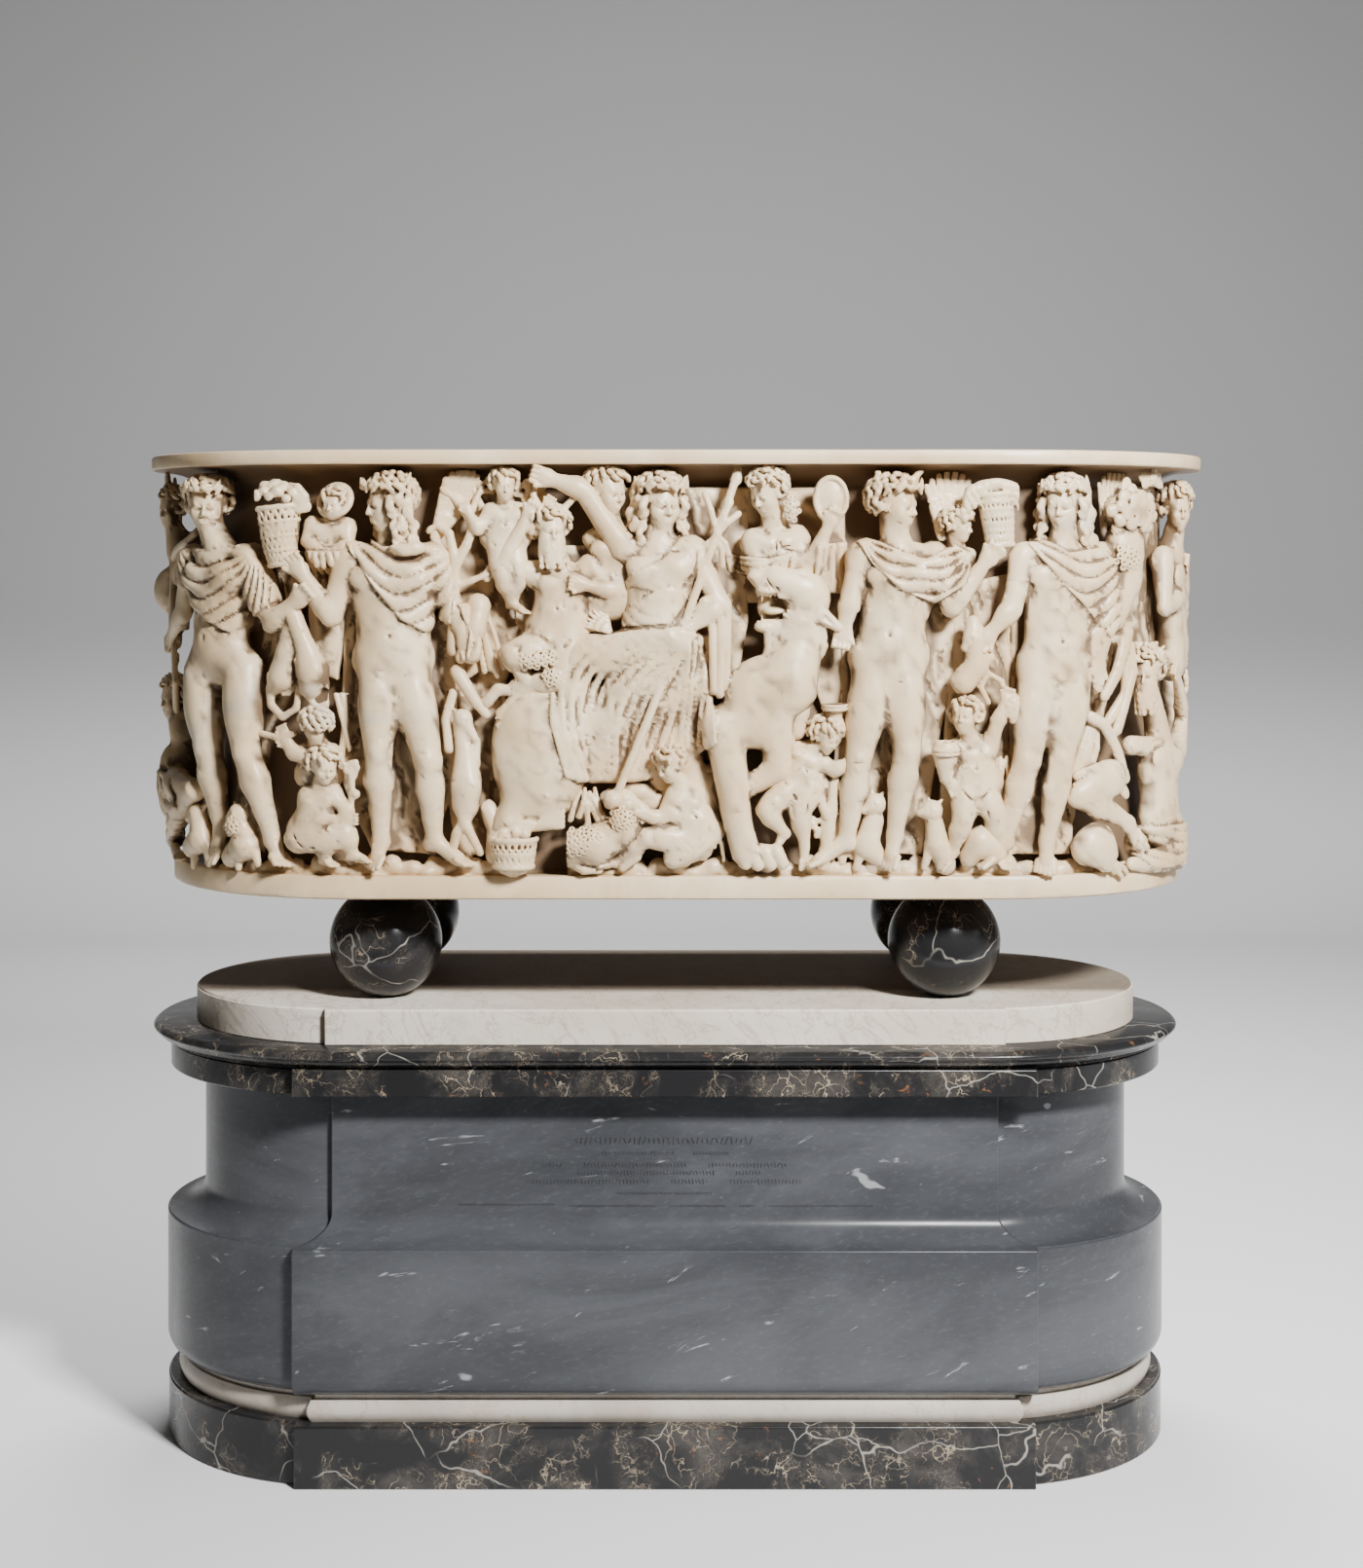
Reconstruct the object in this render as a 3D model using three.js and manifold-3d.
// A Roman tub sarcophagus of white marble with round ends, its sides carved in high relief with the
// four seasons as youths, a rider on a panther and a crowd of attendants. It stands on four black
// balls over a stepped pedestal of black, white and grey marble.
// Millimetres, +Z up, front towards -Y. The origin is the middle of the pedestal's underside.

import * as THREE from "three";
import { mergeVertices } from "three/addons/utils/BufferGeometryUtils.js";
import Module from "manifold-3d";

const wasm = await Module();
wasm.setup();

// Plan: every layer is a straight run closed by two round ends, all struck from the same centres
const straightRun = 1174;
const halfRun = straightRun / 2;
const endSegments = 12;

// Pedestal: half depth of the round ends, and height, of each course from the floor up
const plinthRadius = 400;
const plinthHeight = 116;
const torusRadius = 380;
const torusHeight = 40;
const filletRadius = 366;
const filletHeight = 10;
const blockRadius = 402;
const blockHeight = 274;
const blockUndercut = 36;
const dieRadius = 329;
const dieHeight = 282;
const dieFlare = 52;
const friezeRadius = 396;
const friezeHeight = 50;
const corniceRadius = 430;
const corniceHeight = 36;
const slabRadius = 346;
const slabHeight = 67;

// The middle bay of a course stands a little proud of its round ends
const bayProud = 12;
const plinthBay = 684;
const torusBay = 664;
const blockBay = 688;
const dieBay = 624;
const friezeBay = 688;
const slabBay = 635;
const jointGap = 0.5;
const arris = 4;

// Balls between the slab and the sarcophagus, each with a small flat above and below
const ballDiameter = 216;
const ballFlat = 2;
const ballSpanX = 1075;
const ballSpanY = 404;

// Sarcophagus
const tubShift = 22;
const tubHeight = 828;
const rimRadius = 456;
const rimHeight = 27;
const coveHeight = 46;
const wallRadius = 355;
const ledgeRadius = 412;
const ledgeHeight = 44;
const cavityRadius = 280;
const floorThickness = 120;
const reliefDepth = 110;
const carvedFaces = 7500;

// How the photograph shows the tub: the carving below is placed by columns and rows of that picture
const picture = {
  column: 696,
  eyeRow: 576,
  focal: 2559,
  distance: 5000,
  eyeHeight: 625,
  halfRun: 587,
  wallRadius: 355,
  height: 828,
  depth: 110,
};
const grain = tubHeight / 464;
const liftScale = reliefDepth / picture.depth;
const sunk = -6;
const sliver = 1;

// Heights of the pedestal's beds
const torusZ = plinthHeight;
const blockZ = torusZ + torusHeight + filletHeight;
const dieZ = blockZ + blockHeight;
const friezeZ = dieZ + dieHeight;
const corniceZ = friezeZ + friezeHeight;
const slabZ = corniceZ + corniceHeight;
const ballZ = slabZ + slabHeight;
const tubZ = ballZ + ballDiameter - 2 * ballFlat;

const V = (x, y, z) => new THREE.Vector3(x, y, z);
const mix = (a, b, t) => a.clone().lerp(b, t);

// Colours of the stones
const stone = (color, roughness) => new THREE.MeshStandardMaterial({ color, roughness, metalness: 0 });
const relievedMarble = stone(0xd8ccb8, 0.6);
const blackGold = stone(0x1c1b1a, 0.15);
const veinedWhite = stone(0xcfc8ba, 0.35);
const greyMarble = stone(0x5a5c5f, 0.25);

// A closed skin over rings of equal count, with a point or a flat cap at each end
function skin(rings, first = null, last = null) {
  const count = rings[0].length;
  const points = rings.flat();
  const index = [];
  for (let k = 0; k + 1 < rings.length; k += 1) {
    for (let i = 0; i < count; i += 1) {
      const a = k * count + i;
      const b = k * count + ((i + 1) % count);
      index.push(a, b, a + count, b, b + count, a + count);
    }
  }
  const cap = (start, tip, turned) => {
    const from = tip ? 0 : 1;
    const until = tip ? count : count - 1;
    const hub = tip ? points.push(tip) - 1 : start;
    for (let i = from; i < until; i += 1) {
      const a = start + i;
      const b = start + ((i + 1) % count);
      index.push(...(turned ? [hub, b, a] : [hub, a, b]));
    }
  };
  cap(0, first, true);
  cap((rings.length - 1) * count, last, false);
  const geometry = new THREE.BufferGeometry();
  geometry.setAttribute("position", new THREE.Float32BufferAttribute(points.flatMap((p) => p.toArray()), 3));
  geometry.setIndex(index);
  return geometry;
}

function toSolid(geometry) {
  const merged = mergeVertices(geometry, 1e-4);
  return new wasm.Manifold(
    new wasm.Mesh({
      numProp: 3,
      vertProperties: new Float32Array(merged.attributes.position.array),
      triVerts: new Uint32Array(merged.index.array),
    }),
  );
}

function fromSolid(solid) {
  const mesh = solid.getMesh();
  const geometry = new THREE.BufferGeometry();
  geometry.setAttribute("position", new THREE.Float32BufferAttribute(Array.from(mesh.vertProperties), 3));
  geometry.setIndex(Array.from(mesh.triVerts));
  return geometry;
}

// Faces as triples of point numbers
const faceList = (geometry) => {
  const index = geometry.index.array;
  return Array.from({ length: index.length / 3 }, (_, i) => [index[3 * i], index[3 * i + 1], index[3 * i + 2]]);
};

function fromFaces(points, faces) {
  const used = new Map();
  const numbered = faces.flat().map((p) => {
    if (!used.has(p)) used.set(p, used.size);
    return used.get(p);
  });
  const geometry = new THREE.BufferGeometry();
  const flat = [...used.keys()].flatMap((p) => points[p].toArray());
  geometry.setAttribute("position", new THREE.Float32BufferAttribute(flat, 3));
  geometry.setIndex(numbered);
  return geometry;
}

const pointList = ({ attributes: { position: at } }) =>
  Array.from({ length: at.count }, (_, i) => V(at.getX(i), at.getY(i), at.getZ(i)));

// Only the skin reached from the outermost point is kept, so pockets behind the figures stay solid stone
function outsideSkin(geometry) {
  const points = pointList(geometry);
  const faces = faceList(geometry);
  const around = points.map(() => []);
  faces.forEach((face, i) => face.forEach((p) => around[p].push(i)));
  const first = points.reduce((best, p, i) => (p.x > points[best].x ? i : best), 0);
  const kept = new Set(around[first]);
  const queue = [...kept];
  while (queue.length) {
    for (const p of faces[queue.pop()]) {
      for (const next of around[p]) {
        if (kept.has(next)) continue;
        kept.add(next);
        queue.push(next);
      }
    }
  }
  return fromFaces(points, faces.filter((_, i) => kept.has(i)));
}

// Merges neighbouring points where that moves the surface least, until so many faces are left
function thinned(geometry, budget) {
  const points = pointList(geometry);
  const faces = faceList(geometry);
  const around = points.map(() => new Set());
  faces.forEach((face, i) => face.forEach((p) => around[p].add(i)));
  const normalOf = ([a, b, c]) => points[b].clone().sub(points[a]).cross(points[c].clone().sub(points[a]));
  // Each point remembers the planes it lies on, as the ten sums of a squared distance
  const memory = points.map(() => new Float64Array(10));
  for (const face of faces) {
    const n = normalOf(face);
    if (n.length() < 1e-9) continue;
    n.normalize();
    const d = -n.dot(points[face[0]]);
    const sums = [n.x * n.x, n.y * n.y, n.z * n.z, n.x * n.y, n.x * n.z, n.y * n.z, n.x * d, n.y * d, n.z * d, d * d];
    for (const p of face) sums.forEach((value, k) => { memory[p][k] += value; });
  }
  const drift = (m, { x, y, z }) => m[0] * x * x + m[1] * y * y + m[2] * z * z + m[9]
    + 2 * (m[3] * x * y + m[4] * x * z + m[5] * y * z + m[6] * x + m[7] * y + m[8] * z);
  const neighbours = (p) => {
    const near = new Set();
    for (const i of around[p]) for (const q of faces[i]) if (q !== p) near.add(q);
    return near;
  };
  const mayMerge = (from, to, near) => {
    const shared = [...neighbours(to)].filter((p) => near.has(p));
    if (shared.length !== 2) return false;
    for (const i of around[from]) {
      if (faces[i].includes(to)) continue;
      const before = normalOf(faces[i]);
      const after = normalOf(faces[i].map((p) => (p === from ? to : p)));
      if (after.length() < sliver) return false;
      if (before.length() > sliver && before.dot(after) < 0.2 * before.length() * after.length()) return false;
    }
    return true;
  };
  let left = faces.length;
  for (let slack = 0.02; left > budget && slack < 16; slack *= 1.25) {
    for (let from = 0; from < points.length && left > budget; from += 1) {
      if (!around[from].size) continue;
      const near = neighbours(from);
      const choices = [...near]
        .map((to) => [drift(memory[from], points[to]) + drift(memory[to], points[to]), to])
        .filter(([cost]) => cost < slack * slack)
        .sort((a, b) => a[0] - b[0]);
      const choice = choices.find(([, to]) => mayMerge(from, to, near));
      if (!choice) continue;
      const to = choice[1];
      for (const i of [...around[from]]) {
        if (faces[i].includes(to)) {
          faces[i].forEach((p) => around[p].delete(i));
          left -= 1;
        } else {
          faces[i] = faces[i].map((p) => (p === from ? to : p));
          around[to].add(i);
        }
      }
      around[from].clear();
      memory[from].forEach((value, k) => { memory[to][k] += value; });
    }
  }
  return fromFaces(points, faces.filter((face, i) => around[face[0]].has(i)));
}

// Courses of the pedestal

// One round end of a course: an arc struck from the end centre, cut off square at the bay
function endRing(radius, cut, z, side) {
  const start = Math.acos((cut - halfRun) / radius);
  return Array.from({ length: endSegments + 1 }, (_, i) => {
    const angle = start * ((2 * i) / endSegments - 1);
    const x = halfRun + radius * Math.cos(angle);
    return V(side * x, side * radius * Math.sin(angle), z);
  });
}

function bayRing(radius, cut, z) {
  const y = radius + bayProud;
  return [V(-cut, -y, z), V(cut, -y, z), V(cut, y, z), V(-cut, y, z)];
}

// A whole stadium ring, for a course or a tub without a bay
function stadiumRing(radius, z, segments = endSegments) {
  const half = (side) =>
    Array.from({ length: segments + 1 }, (_, i) => {
      const angle = Math.PI * (i / segments - 0.5);
      return V(side * (halfRun + radius * Math.cos(angle)), side * radius * Math.sin(angle), z);
    });
  return [...half(1), ...half(-1)];
}

// A profile is a list of [setback from the radius, height above the bed]. Where it returns, the
// sides of the bay carry it too
function course({ name, bedZ, radius, bay, profile, material, returns = false }) {
  const group = new THREE.Group();
  const levels = profile.map(([setback, up]) => ({
    radius: radius - setback,
    cut: returns ? bay - setback : bay,
    z: bedZ + up,
  }));
  const add = (suffix, rings) => {
    const mesh = new THREE.Mesh(skin(rings), material);
    mesh.name = `${name}_${suffix}`;
    group.add(mesh);
  };
  add("centre", levels.map((l) => bayRing(l.radius, l.cut, l.z)));
  add("right_end", levels.map((l) => endRing(l.radius, l.cut + jointGap, l.z, 1)));
  add("left_end", levels.map((l) => endRing(l.radius, l.cut + jointGap, l.z, -1)));
  return group;
}

// Points of a quarter round or hollow, from one setback and height to another
function quarter(from, to, steps, hollow) {
  return Array.from({ length: steps + 1 }, (_, i) => {
    const t = (Math.PI / 2) * (i / steps);
    const across = hollow ? 1 - Math.cos(t) : Math.sin(t);
    const rise = hollow ? Math.sin(t) : 1 - Math.cos(t);
    return [from[0] + (to[0] - from[0]) * across, from[1] + (to[1] - from[1]) * rise];
  });
}

function pedestal() {
  const group = new THREE.Group();
  const bulge = torusRadius - filletRadius;
  const flareReach = blockRadius - dieRadius - 2 * arris;
  const square = (height) => [[0, 0], [0, height - arris], [arris, height]];
  const courses = [
    {
      name: "plinth", bedZ: 0, radius: plinthRadius, bay: plinthBay, profile: square(plinthHeight),
      material: blackGold,
    },
    {
      name: "torus", bedZ: torusZ, radius: torusRadius, bay: torusBay, material: veinedWhite, returns: true,
      profile: [
        [bulge / 2, 0],
        [0, torusHeight * 0.3],
        [0, torusHeight * 0.7],
        [bulge / 2, torusHeight],
        [bulge, torusHeight],
        [bulge, torusHeight + filletHeight],
      ],
    },
    {
      name: "block", bedZ: blockZ, radius: blockRadius, bay: blockBay, material: greyMarble,
      profile: [...quarter([blockUndercut, 0], [0, blockUndercut], 3, false), ...square(blockHeight).slice(1)],
    },
    {
      name: "die", bedZ: dieZ, radius: dieRadius, bay: dieBay, material: greyMarble, returns: true,
      profile: [...quarter([-flareReach, 0], [0, dieFlare], 4, false), [0, dieHeight]],
    },
    {
      name: "frieze", bedZ: friezeZ, radius: friezeRadius, bay: friezeBay, material: blackGold,
      profile: [[0, 0], [0, friezeHeight]],
    },
    {
      name: "slab", bedZ: slabZ, radius: slabRadius, bay: slabBay, profile: square(slabHeight),
      material: veinedWhite,
    },
  ];
  group.add(...courses.map(course));
  const nose = corniceRadius - friezeRadius - arris;
  const cornice = new THREE.Mesh(skin([
    [nose, 0], [nose, corniceHeight * 0.2], [nose * 0.6, corniceHeight * 0.36],
    [arris, corniceHeight * 0.48], [0, corniceHeight * 0.72], [arris, corniceHeight],
  ].map(([setback, up]) => stadiumRing(corniceRadius - setback, corniceZ + up))), blackGold);
  cornice.name = "cornice";
  group.add(cornice);
  return group;
}

function balls() {
  const group = new THREE.Group();
  const radius = ballDiameter / 2;
  const seat = Math.sqrt(radius ** 2 - (radius - ballFlat) ** 2);
  const lowest = Math.asin((radius - ballFlat) / radius);
  const bands = 6;
  const profile = Array.from({ length: bands + 1 }, (_, i) => {
    const angle = lowest * ((2 * i) / bands - 1);
    return new THREE.Vector2(radius * Math.cos(angle), radius * Math.sin(angle));
  });
  profile[0] = new THREE.Vector2(seat, ballFlat - radius);
  profile[bands] = new THREE.Vector2(seat, radius - ballFlat);
  for (const [depthName, y] of [["front", -ballSpanY / 2], ["back", ballSpanY / 2]]) {
    for (const [sideName, x] of [["left", -ballSpanX / 2], ["right", ballSpanX / 2]]) {
      const ring = (p) => Array.from({ length: 12 }, (_, i) => {
        const angle = (2 * Math.PI * i) / 12;
        return V(p.x * Math.cos(angle), p.x * Math.sin(angle), p.y);
      });
      const mesh = new THREE.Mesh(skin(profile.map(ring)), blackGold);
      mesh.name = `ball_${depthName}_${sideName}`;
      mesh.position.set(x, y, ballZ + radius - ballFlat);
      group.add(mesh);
    }
  }
  return group;
}

// The carved wall

// Where a point of the picture lies on the wall: along it, up it and out from it
function onWall([u, v, lift = 60]) {
  const radius = picture.wallRadius + lift;
  const side = Math.sign(u - picture.column);
  const offset = Math.abs(u - picture.column);
  const flat = (offset * (picture.distance - radius)) / picture.focal;
  let depth = picture.distance - radius;
  let along = flat * (halfRun / picture.halfRun);
  if (flat > picture.halfRun) {
    let low = 0;
    let high = 1.42;
    for (let i = 0; i < 24; i += 1) {
      const angle = (low + high) / 2;
      depth = picture.distance - radius * Math.cos(angle);
      const seen = (picture.focal * (picture.halfRun + radius * Math.sin(angle))) / depth;
      if (seen < offset) low = angle;
      else high = angle;
    }
    along = halfRun + low * (wallRadius + reliefDepth / 2);
  }
  const up = picture.eyeHeight - ((v - picture.eyeRow) * depth) / picture.focal;
  return V(side * along, (up * tubHeight) / picture.height, lift * liftScale);
}

// The wall rolled round the tub's plan, from along, up and out to the tub's own space
function roll(p) {
  const arc = wallRadius + reliefDepth / 2;
  const side = p.x < 0 ? -1 : 1;
  const past = Math.abs(p.x) - halfRun;
  const radius = wallRadius + p.z;
  if (past <= 0) return V(p.x, -radius, p.y);
  const angle = past / arc;
  if (angle > Math.PI) return V(side * (halfRun - (angle - Math.PI) * arc), radius, p.y);
  return V(side * (halfRun + radius * Math.sin(angle)), -radius * Math.cos(angle), p.y);
}

function rolled(geometry) {
  const at = geometry.attributes.position;
  for (let i = 0; i < at.count; i += 1) {
    at.setXYZ(i, ...roll(V(at.getX(i), at.getY(i), at.getZ(i))).toArray());
  }
  return geometry;
}

// Half a round section towards the viewer, closed by a straight back inside the wall
function halfRound(sides, across, out) {
  const front = sides - 2;
  const points = Array.from({ length: front }, (_, i) => {
    const angle = Math.PI * (0.06 + (0.88 * i) / (front - 1));
    return { side: -across * Math.cos(angle), out: out * Math.sin(angle) };
  });
  return [...points, { side: across, back: true }, { side: -across, back: true }];
}

// A limb, fold or stem: stations of place, thickness and breadth
function tube(stations, sides = 6) {
  const rings = stations.map(({ p, r, broad = 1 }, k) => {
    const before = stations[Math.max(k - 1, 0)].p;
    const after = stations[Math.min(k + 1, stations.length - 1)].p;
    const heading = V(after.x - before.x, after.y - before.y, 0).normalize();
    return halfRound(sides, r * broad, r).map(({ side, out, back }) =>
      V(p.x + heading.y * side, p.y - heading.x * side, back ? sunk : p.z + out));
  });
  const tip = (k, inner) => {
    const { p, r } = stations[k];
    return p.clone().addScaledVector(p.clone().sub(stations[inner].p).normalize(), r * 0.7).setZ(sunk);
  };
  return rolled(skin(rings, tip(0, 1), tip(stations.length - 1, stations.length - 2)));
}

// A rounded lump, such as a head, a fruit or a crouching beast
function lump(centre, across, up, out, sides = 6, bands = 4) {
  const rings = Array.from({ length: bands - 1 }, (_, k) => {
    const tilt = Math.PI * ((k + 1) / bands - 0.5);
    return halfRound(sides, across * Math.cos(tilt), out * Math.cos(tilt)).map(({ side, out: w, back }) =>
      V(centre.x + side, centre.y + up * Math.sin(tilt), back ? sunk : centre.z + w));
  });
  return rolled(skin(rings, V(centre.x, centre.y - up, sunk), V(centre.x, centre.y + up, sunk)));
}

// A stem through places in the picture, thinning from one thickness to another (both in pixels)
function stem(places, thick, thin = thick, sides = 5) {
  const points = places.map(onWall);
  return tube(points.map((p, k) => ({
    p,
    r: grain * THREE.MathUtils.lerp(thick, thin, k / (points.length - 1)),
  })), sides);
}

const ball = (place, r, sides = 5) => lump(onWall(place), r * grain, r * grain, r * grain, sides);

// Hanging folds from one edge to another, fanned between a highest and a lowest fold
function folds({ from, to, sag, thick, count }) {
  return Array.from({ length: count }, (_, n) => {
    const t = count > 1 ? n / (count - 1) : 0;
    const a = mix(onWall(from[0]), onWall(from[1]), t);
    const b = mix(onWall(to[0]), onWall(to[1]), t);
    const drop = THREE.MathUtils.lerp(sag[0], sag[1], t) * grain;
    return tube([0, 0.33, 0.67, 1].map((k) => {
      const p = mix(a, b, k);
      p.y -= drop * 4 * k * (1 - k);
      p.z += 5 * Math.sin(Math.PI * k);
      return { p, r: thick * grain };
    }), 5);
  });
}

// A person, from the places of the joints in the picture. Thicknesses are shares of the head's height
function person({ head, size, shoulders, hips, arms = [], legs = [], hair = 1, slim = 1 }) {
  const h = size * grain;
  const small = size < 40;
  const sides = small ? 5 : 6;
  const crown = onWall(head);
  const made = [
    lump(V(crown.x, crown.y - 0.06 * h, crown.z), 0.38 * h, 0.56 * h, 0.42 * h, sides),
    lump(V(crown.x, crown.y + 0.16 * h, crown.z - 0.2 * h), 0.54 * h * hair, 0.5 * h, 0.42 * h, sides),
  ];
  const top = mix(onWall(shoulders[0]), onWall(shoulders[1]), 0.5);
  const bottom = mix(onWall(hips[0]), onWall(hips[1]), 0.5);
  const spread = onWall(shoulders[0]).distanceTo(onWall(shoulders[1])) / 2 / h;
  const station = (t, half, r) => ({ p: mix(top, bottom, t), r: r * h * slim, broad: half / (r * slim) });
  made.push(tube([
    { p: mix(crown, top, 0.45), r: 0.22 * h },
    station(-0.04, spread * 0.88, 0.3),
    station(0.3, spread * 0.86, 0.44),
    station(0.64, 0.58 * slim, 0.38),
    station(0.95, 0.72 * slim, 0.44),
    station(1.22, 0.6 * slim, 0.36),
  ], small ? 6 : 8));
  const armWidths = [0.25, 0.18, 0.13, 0.13];
  for (const joints of arms) {
    made.push(tube(joints.map(onWall).map((p, k) => ({ p, r: armWidths[k] * h })), sides));
  }
  for (const joints of legs) {
    const [hip, knee, ankle, toe] = joints.map(onWall);
    const along = [{ p: hip, r: 0.4 * h * slim }];
    if (!small) along.push({ p: mix(hip, knee, 0.5), r: 0.36 * h * slim });
    along.push({ p: knee, r: 0.26 * h });
    if (ankle) along.push({ p: mix(knee, ankle, 0.32), r: 0.29 * h }, { p: ankle, r: 0.17 * h });
    made.push(tube(along, sides));
    if (toe) made.push(tube([{ p: ankle, r: 0.17 * h }, { p: toe, r: 0.17 * h }], 5));
  }
  return made;
}

// The four seasons, standing youths with a cloak across the chest
function seasons() {
  return [
    ...person({
      size: 50, head: [213, 522, 82], shoulders: [[203, 576, 66], [255, 573, 66]],
      hips: [[209, 676, 62], [246, 676, 62]],
      arms: [[[203, 580, 60], [190, 628, 46], [182, 668, 50]], [[256, 582, 60], [282, 642, 74], [303, 627, 92]]],
      legs: [[[208, 690, 58], [217, 772, 66], [226, 856, 40], [222, 874, 46]],
        [[244, 690, 62], [257, 780, 80], [280, 862, 50], [288, 884, 56]]],
    }),
    ...folds({ from: [[204, 568, 84], [198, 596, 76]], to: [[258, 572, 76], [288, 628, 84]],
      sag: [12, 40], thick: 9, count: 3 }),
    ...person({
      size: 52, head: [394, 522, 84], shoulders: [[364, 577, 68], [438, 575, 66]],
      hips: [[386, 682, 62], [428, 680, 62]],
      arms: [[[362, 580, 72], [339, 622, 84], [303, 588, 96]], [[440, 578, 60], [458, 622, 62], [463, 640, 62]]],
      legs: [[[385, 698, 60], [388, 774, 74], [393, 862, 48], [386, 886, 58]],
        [[426, 696, 62], [443, 782, 80], [450, 864, 50], [478, 886, 58]]],
    }),
    ...folds({ from: [[368, 562, 84], [376, 592, 84]], to: [[448, 566, 76], [458, 626, 72]],
      sag: [14, 34], thick: 9, count: 3 }),
    ...person({
      size: 52, head: [919, 520, 84], shoulders: [[882, 574, 68], [962, 572, 66]],
      hips: [[902, 680, 62], [942, 680, 62]],
      arms: [[[880, 578, 68], [866, 620, 66], [868, 656, 58]], [[966, 580, 62], [980, 624, 78], [1022, 576, 94]]],
      legs: [[[905, 698, 60], [882, 782, 78], [861, 866, 48], [824, 892, 58]],
        [[940, 696, 60], [934, 774, 74], [923, 864, 48], [914, 894, 58]]],
    }),
    ...folds({ from: [[888, 562, 84], [896, 584, 84]], to: [[968, 562, 76], [976, 600, 78]],
      sag: [16, 36], thick: 8, count: 3 }),
    ...person({
      size: 52, head: [1097, 522, 84], shoulders: [[1056, 578, 68], [1124, 576, 64]],
      hips: [[1066, 690, 62], [1104, 690, 60]],
      arms: [[[1054, 582, 66], [1036, 634, 74], [1006, 634, 80]], [[1126, 580, 54], [1142, 628, 52], [1130, 686, 60]]],
      legs: [[[1067, 706, 60], [1055, 786, 78], [1036, 866, 48], [1008, 890, 58]],
        [[1101, 704, 60], [1090, 786, 72], [1078, 872, 48], [1074, 896, 58]]],
    }),
    ...folds({ from: [[1072, 562, 84], [1084, 586, 84]], to: [[1136, 568, 66], [1132, 640, 66]],
      sag: [12, 8], thick: 9, count: 3 }),
  ];
}

// The rider in the middle, seated sideways with a cloth over the knees, and the long staff
function rider() {
  return [
    ...person({
      size: 54, head: [679, 518, 90], shoulders: [[643, 566, 74], [706, 566, 70]],
      hips: [[652, 652, 64], [690, 654, 64]],
      arms: [[[642, 566, 70], [597, 536, 70], [575, 494, 74]], [[706, 570, 68], [738, 626, 76], [702, 646, 96]]],
      legs: [[[658, 668, 76], [598, 680, 98], [584, 806, 66], [562, 832, 74]],
        [[688, 670, 76], [640, 724, 104], [612, 790, 66]]],
    }),
    tube([[672, 668, 76, 16, 1.7], [628, 686, 88, 22, 2.1], [618, 730, 76, 24, 2], [612, 792, 56, 14, 3]]
      .map(([u, v, lift, r, broad]) => ({ p: onWall([u, v, lift]), r: r * grain, broad })), 8),
    ...folds({ from: [[584, 684, 104], [586, 778, 68]], to: [[690, 668, 92], [664, 770, 64]],
      sag: [14, 2], thick: 7, count: 4 }),
    stem([[757, 484, 92], [722, 580, 104], [688, 680, 108], [636, 816, 92]], 5, 5),
    lump(onWall([757, 486, 92]), 8 * grain, 14 * grain, 8 * grain, 6),
    stem([[738, 622, 86], [752, 640, 82], [747, 716, 80]], 9, 7),
    stem([[716, 660, 66], [724, 740, 56], [716, 790, 50]], 10, 9),
    stem([[704, 670, 60], [696, 740, 52], [680, 790, 50]], 8, 7),
  ];
}

// The panther: haunch behind the rider, chest and head turned back to look up
function panther() {
  const body = (places, sides = 7) => tube(places.map(([u, v, lift, r, broad]) => (
    { p: onWall([u, v, lift]), r: r * grain, broad })), sides);
  return [
    body([[566, 730, 40, 26, 1.2], [548, 770, 46, 30, 1.2], [532, 808, 42, 24, 1.1], [516, 838, 36, 13, 1]]),
    stem([[510, 850, 50], [556, 843, 58]], 9, 7),
    body([[600, 740, 30, 30, 1], [690, 740, 30, 30, 1], [760, 720, 40, 36, 1]]),
    body([[770, 752, 46, 26, 1.3], [784, 716, 56, 30, 1.5], [806, 676, 60, 22, 1.3], [820, 640, 62, 22, 1.2]]),
    body([[842, 616, 62, 20, 1], [818, 612, 76, 19, 1], [792, 600, 82, 12, 1.1], [782, 594, 82, 9, 1]], 6),
    stem([[812, 646, 74], [784, 644, 78], [779, 632, 78]], 7, 5),
    stem([[838, 642, 66], [860, 646, 74]], 6, 3),
    stem([[748, 752, 60], [752, 800, 66], [758, 834, 64], [768, 876, 56], [776, 888, 62]], 14, 11, 6),
    stem([[778, 876, 50], [800, 888, 60]], 8, 7),
    stem([[774, 770, 70], [800, 774, 80], [776, 824, 66]], 13, 8, 6),
    stem([[462, 700, 40], [456, 740, 44], [466, 764, 44]], 6, 4),
  ];
}

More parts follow.
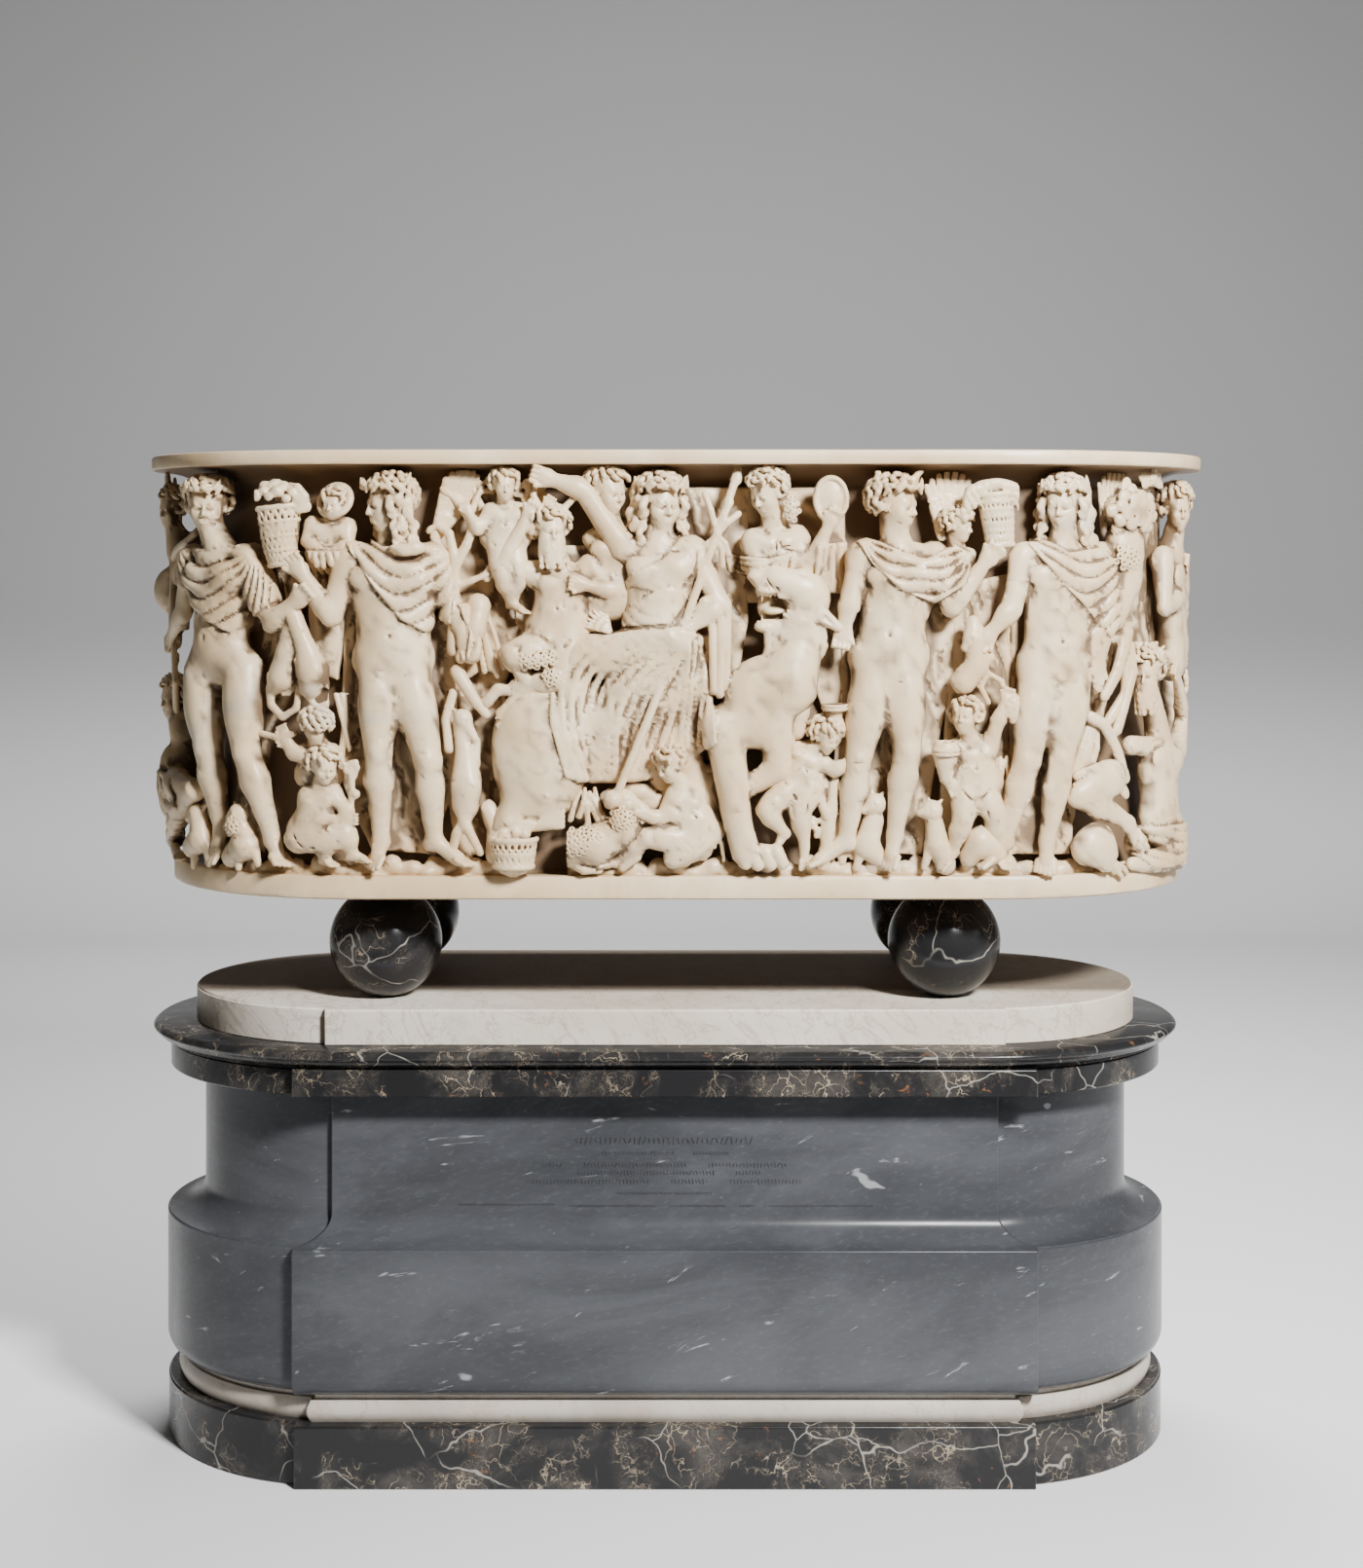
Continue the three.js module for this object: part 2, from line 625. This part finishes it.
// Attendants of the rider
function attendants() {
  return [
    ...person({
      size: 42, head: [568, 548, 86], shoulders: [[548, 590, 72], [600, 588, 68]],
      hips: [[564, 646, 62], [588, 648, 62]],
      arms: [[[548, 588, 70], [511, 582, 74], [540, 530, 76]], [[600, 590, 66], [630, 606, 82], [604, 600, 94]]],
      legs: [[[566, 652, 70], [522, 660, 84], [540, 692, 66]], [[586, 658, 70], [567, 704, 88], [514, 716, 76]]],
    }),
    ...person({ size: 44, head: [625, 506, 62], shoulders: [[606, 548, 46], [648, 548, 46]],
      hips: [[612, 600, 30], [640, 600, 30]] }),
    ...person({
      size: 44, head: [787, 512, 78], shoulders: [[778, 562, 62], [822, 560, 62]],
      hips: [[784, 640, 30], [820, 640, 30]],
      arms: [[[822, 566, 66], [832, 590, 80], [853, 532, 80]], [[778, 562, 60], [752, 596, 64], [744, 620, 56]]],
    }),
    lump(onWall([855, 516, 60]), 17 * grain, 24 * grain, 9 * grain, 8),
    ...person({
      size: 30, head: [516, 500, 66], shoulders: [[507, 528, 54], [530, 528, 54]],
      hips: [[512, 562, 50], [528, 562, 50]],
      arms: [[[530, 530, 56], [548, 524, 62], [550, 506, 62]]],
      legs: [[[518, 566, 56], [523, 600, 66], [526, 624, 58], [538, 637, 62]]],
    }),
    ...person({
      size: 28, head: [341, 522, 66], hair: 1.2, shoulders: [[322, 548, 54], [350, 548, 54]],
      hips: [[330, 580, 46], [344, 580, 46]], arms: [[[322, 550, 60], [318, 566, 70], [336, 566, 72]]],
    }),
    ...person({
      size: 34, head: [684, 790, 74], shoulders: [[692, 818, 64], [712, 820, 60]],
      hips: [[700, 858, 56], [720, 856, 52]],
      arms: [[[694, 820, 70], [681, 836, 76], [654, 832, 76]]],
      legs: [[[704, 858, 64], [665, 857, 72], [644, 886, 60], [630, 892, 62]],
        [[716, 862, 54], [700, 886, 70], [724, 880, 50]]],
    }),
    ...person({
      size: 32, head: [849, 760, 64], shoulders: [[818, 768, 66], [840, 780, 62]],
      hips: [[812, 806, 56], [828, 808, 56]],
      arms: [[[818, 768, 66], [817, 746, 66], [832, 724, 62]], [[840, 784, 64], [852, 790, 68], [868, 777, 72]]],
      legs: [[[810, 808, 60], [784, 830, 66]], [[822, 812, 60], [825, 850, 66], [822, 880, 44]]],
    }),
    ...person({
      size: 34, head: [993, 736, 72], shoulders: [[988, 766, 62], [1014, 762, 60]],
      hips: [[993, 810, 56], [1010, 810, 54]],
      arms: [[[988, 768, 62], [974, 790, 62], [966, 798, 70]], [[1014, 762, 62], [1026, 742, 68], [1031, 710, 66]]],
      legs: [[[994, 816, 60], [986, 848, 66], [977, 886, 48], [968, 892, 54]],
        [[1008, 814, 54], [1022, 840, 58], [1028, 872, 36]]],
    }),
    ...person({
      size: 32, head: [334, 790, 70], shoulders: [[317, 816, 62], [338, 816, 62]],
      hips: [[306, 858, 56], [324, 860, 56]],
      arms: [[[318, 818, 64], [330, 840, 72], [354, 842, 76]]],
      legs: [[[310, 862, 60], [340, 866, 72], [322, 886, 58], [334, 890, 60]],
        [[322, 860, 52], [350, 852, 62], [364, 884, 50], [372, 888, 54]]],
    }),
    ...person({
      size: 29, head: [325, 745, 62], shoulders: [[318, 770, 52], [338, 770, 52]],
      hips: [[320, 806, 40], [336, 806, 40]], arms: [[[318, 770, 54], [304, 772, 62], [298, 754, 62]]],
    }),
  ];
}

// The two ends: an earth woman and a youth on the left, a boy and a river god on the right
function ends() {
  return [
    ...person({
      size: 42, head: [1213, 530, 86], shoulders: [[1199, 580, 68], [1228, 580, 70]],
      hips: [[1208, 680, 56], [1224, 680, 58]],
      arms: [[[1198, 580, 66], [1203, 628, 78], [1230, 588, 96]]],
    }),
    ...person({
      size: 46, head: [1187, 692, 78], hair: 1.1, shoulders: [[1168, 764, 62], [1205, 762, 66]],
      hips: [[1176, 850, 52], [1196, 850, 52]],
      arms: [[[1166, 766, 54], [1108, 814, 62], [1168, 850, 72]], [[1206, 762, 60], [1218, 736, 70], [1212, 700, 60]]],
      legs: [[[1184, 862, 46], [1204, 880, 50]]],
    }),
    ball([1185, 730, 82], 13),
    ...person({
      size: 44, head: [160, 640, 62], shoulders: [[152, 690, 50], [172, 700, 52]],
      hips: [[160, 800, 46], [172, 810, 46]],
      arms: [[[172, 716, 60], [197, 802, 74], [164, 818, 90]]],
      legs: [[[166, 824, 60], [160, 850, 86], [183, 878, 54]]],
    }),
    ...person({
      size: 42, head: [170, 560, 46], shoulders: [[156, 580, 66], [170, 590, 50]],
      hips: [[150, 660, 60], [164, 664, 50]], arms: [[[164, 572, 60], [158, 532, 80], [149, 498, 100]]],
    }),
  ];
}

// Trees, baskets, fruit, fowl, beasts and vessels between the figures
function belongings() {
  const beast = ([u, v], size, face) => [
    lump(onWall([u, v, 48]), 0.9 * size * grain, 1.3 * size * grain, 0.9 * size * grain, 6),
    lump(onWall([u + face * size * 0.4, v - size * 1.7, 58]), 0.7 * size * grain, 0.6 * size * grain,
      0.7 * size * grain, 5),
  ];
  const basket = ([u, v], top, bottom, tall) => tube([
    { p: onWall([u, v, 62]), r: bottom * grain },
    { p: onWall([u, v - tall, 66]), r: top * grain },
  ], 7);
  return [
    basket([292, 578], 20, 8, 50),
    ball([283, 516, 72], 24, 7),
    basket([1024, 566], 15, 11, 56),
    lump(onWall([1026, 502, 66]), 40 * grain, 17 * grain, 24 * grain, 7),
    basket([973, 802], 10, 6, 34),
    basket([529, 892], 22, 20, 30),
    stem([[1127, 700, 64], [1136, 650, 72], [1156, 606, 80], [1162, 566, 84]], 8, 22, 6),
    ball([1161, 540, 82], 25, 7),
    stem([[177, 884, 30], [180, 740, 52], [177, 560, 60], [168, 490, 60]], 7, 5),
    stem([[178, 560, 60], [196, 500, 50]], 4, 3),
    stem([[462, 760, 44], [466, 660, 66], [468, 578, 70], [458, 520, 62]], 7, 4),
    stem([[468, 578, 70], [486, 540, 66], [500, 532, 60]], 5, 3),
    lump(onWall([466, 508, 40]), 20 * grain, 18 * grain, 20 * grain, 6),
    stem([[480, 640, 60], [478, 680, 66], [492, 722, 60]], 7, 6),
    stem([[478, 760, 50], [480, 810, 56], [484, 836, 50], [492, 876, 44]], 12, 5),
    stem([[304, 640, 80], [294, 684, 70], [306, 724, 64], [290, 722, 60]], 13, 6),
    stem([[308, 640, 80], [328, 682, 74], [334, 716, 60]], 15, 6),
    ...beast([205, 862], 15, 0),
    ...beast([252, 866], 15, -0.8),
    ...beast([957, 866], 14, 0.2),
    ...beast([888, 866], 14, 0.6),
    lump(onWall([1010, 864, 44]), 17 * grain, 22 * grain, 16 * grain, 6),
    lump(onWall([594, 874, 52]), 30 * grain, 20 * grain, 24 * grain, 7),
    stem([[616, 862, 60], [630, 836, 64], [662, 832, 70]], 14, 9),
    stem([[596, 856, 50], [604, 828, 44], [612, 850, 44]], 6, 6),
    stem([[1002, 630, 82], [996, 664, 76], [1004, 686, 74], [987, 702, 72]], 7, 14),
    lump(onWall([1129, 872, 60]), 26 * grain, 26 * grain, 20 * grain, 7),
    stem([[1122, 734, 50], [1144, 746, 52], [1156, 800, 50], [1150, 830, 46]], 5, 6),
    stem([[1148, 646, 60], [1152, 700, 54], [1146, 740, 46]], 13, 7),
    lump(onWall([478, 512, 30]), 24 * grain, 20 * grain, 12 * grain, 6),
    lump(onWall([966, 512, 36]), 28 * grain, 20 * grain, 16 * grain, 6),
    lump(onWall([1150, 512, 30]), 22 * grain, 20 * grain, 14 * grain, 6),
    stem([[1236, 630, 84], [1233, 664, 80], [1226, 704, 74]], 13, 9),
    stem([[148, 560, 98], [143, 600, 102], [144, 648, 98], [150, 704, 88]], 13, 11),
  ];
}

// The back is plainer: three garlands hung between low trees
function backGarlands() {
  const backMiddle = halfRun * 2 + Math.PI * (wallRadius + reliefDepth / 2);
  const swags = 3;
  const reach = (straightRun * 1.02) / swags;
  const place = (x, up, out) => V(backMiddle + x, up * tubHeight, out * reliefDepth);
  const made = [];
  for (let n = 0; n <= swags; n += 1) {
    const x = reach * (n - swags / 2);
    made.push(tube([
      { p: place(x, 0.03, 0.16), r: 0.022 * tubHeight },
      { p: place(x, 0.86, 0.16), r: 0.016 * tubHeight },
    ], 5));
    made.push(lump(place(x, 0.84, 0.2), 0.07 * tubHeight, 0.06 * tubHeight, 0.25 * reliefDepth, 6));
    if (n === swags) continue;
    made.push(tube([0, 0.25, 0.5, 0.75, 1].map((t) => ({
      p: place(x + reach * t, 0.8 - 0.36 * 4 * t * (1 - t), 0.22),
      r: (0.025 + 0.03 * Math.sin(Math.PI * t)) * tubHeight,
    })), 6));
    made.push(lump(place(x + reach / 2, 0.66, 0.2), 0.06 * tubHeight, 0.075 * tubHeight, 0.25 * reliefDepth, 6));
  }
  return made;
}

// The sarcophagus: one block of marble, hollowed from above
function sarcophagus() {
  const outer = skin([
    [ledgeRadius - arris, 0],
    [ledgeRadius, arris],
    [ledgeRadius, ledgeHeight],
    [wallRadius, ledgeHeight + arris],
    [wallRadius, tubHeight - rimHeight - coveHeight],
    [wallRadius + 0.4 * (rimRadius - wallRadius), tubHeight - rimHeight - 0.4 * coveHeight],
    [rimRadius - 2 * arris, tubHeight - rimHeight],
    [rimRadius, tubHeight - rimHeight + arris],
    [rimRadius, tubHeight],
  ].map(([radius, z]) => stadiumRing(radius, z)));
  const cavity = skin([
    stadiumRing(cavityRadius, floorThickness, endSegments - 2),
    stadiumRing(cavityRadius, tubHeight + arris, endSegments - 2),
  ]);
  const carving = [
    ...seasons(), ...rider(), ...panther(), ...attendants(), ...ends(), ...belongings(), ...backGarlands(),
  ];
  // The carving stays below the top of the rim and above the bed of the tub
  const slice = skin([stadiumRing(rimRadius + reliefDepth, 0), stadiumRing(rimRadius + reliefDepth, tubHeight)]);
  const carved = carving.map(toSolid).reduce((whole, piece) => whole.add(piece)).intersect(toSolid(slice));
  const solid = toSolid(outer).add(carved).subtract(toSolid(cavity));
  const mesh = new THREE.Mesh(thinned(outsideSkin(fromSolid(solid)), carvedFaces), relievedMarble);
  mesh.name = "sarcophagus";
  mesh.position.set(tubShift, 0, tubZ);
  return mesh;
}

const object = new THREE.Group();
object.add(pedestal(), balls(), sarcophagus());
export default object;
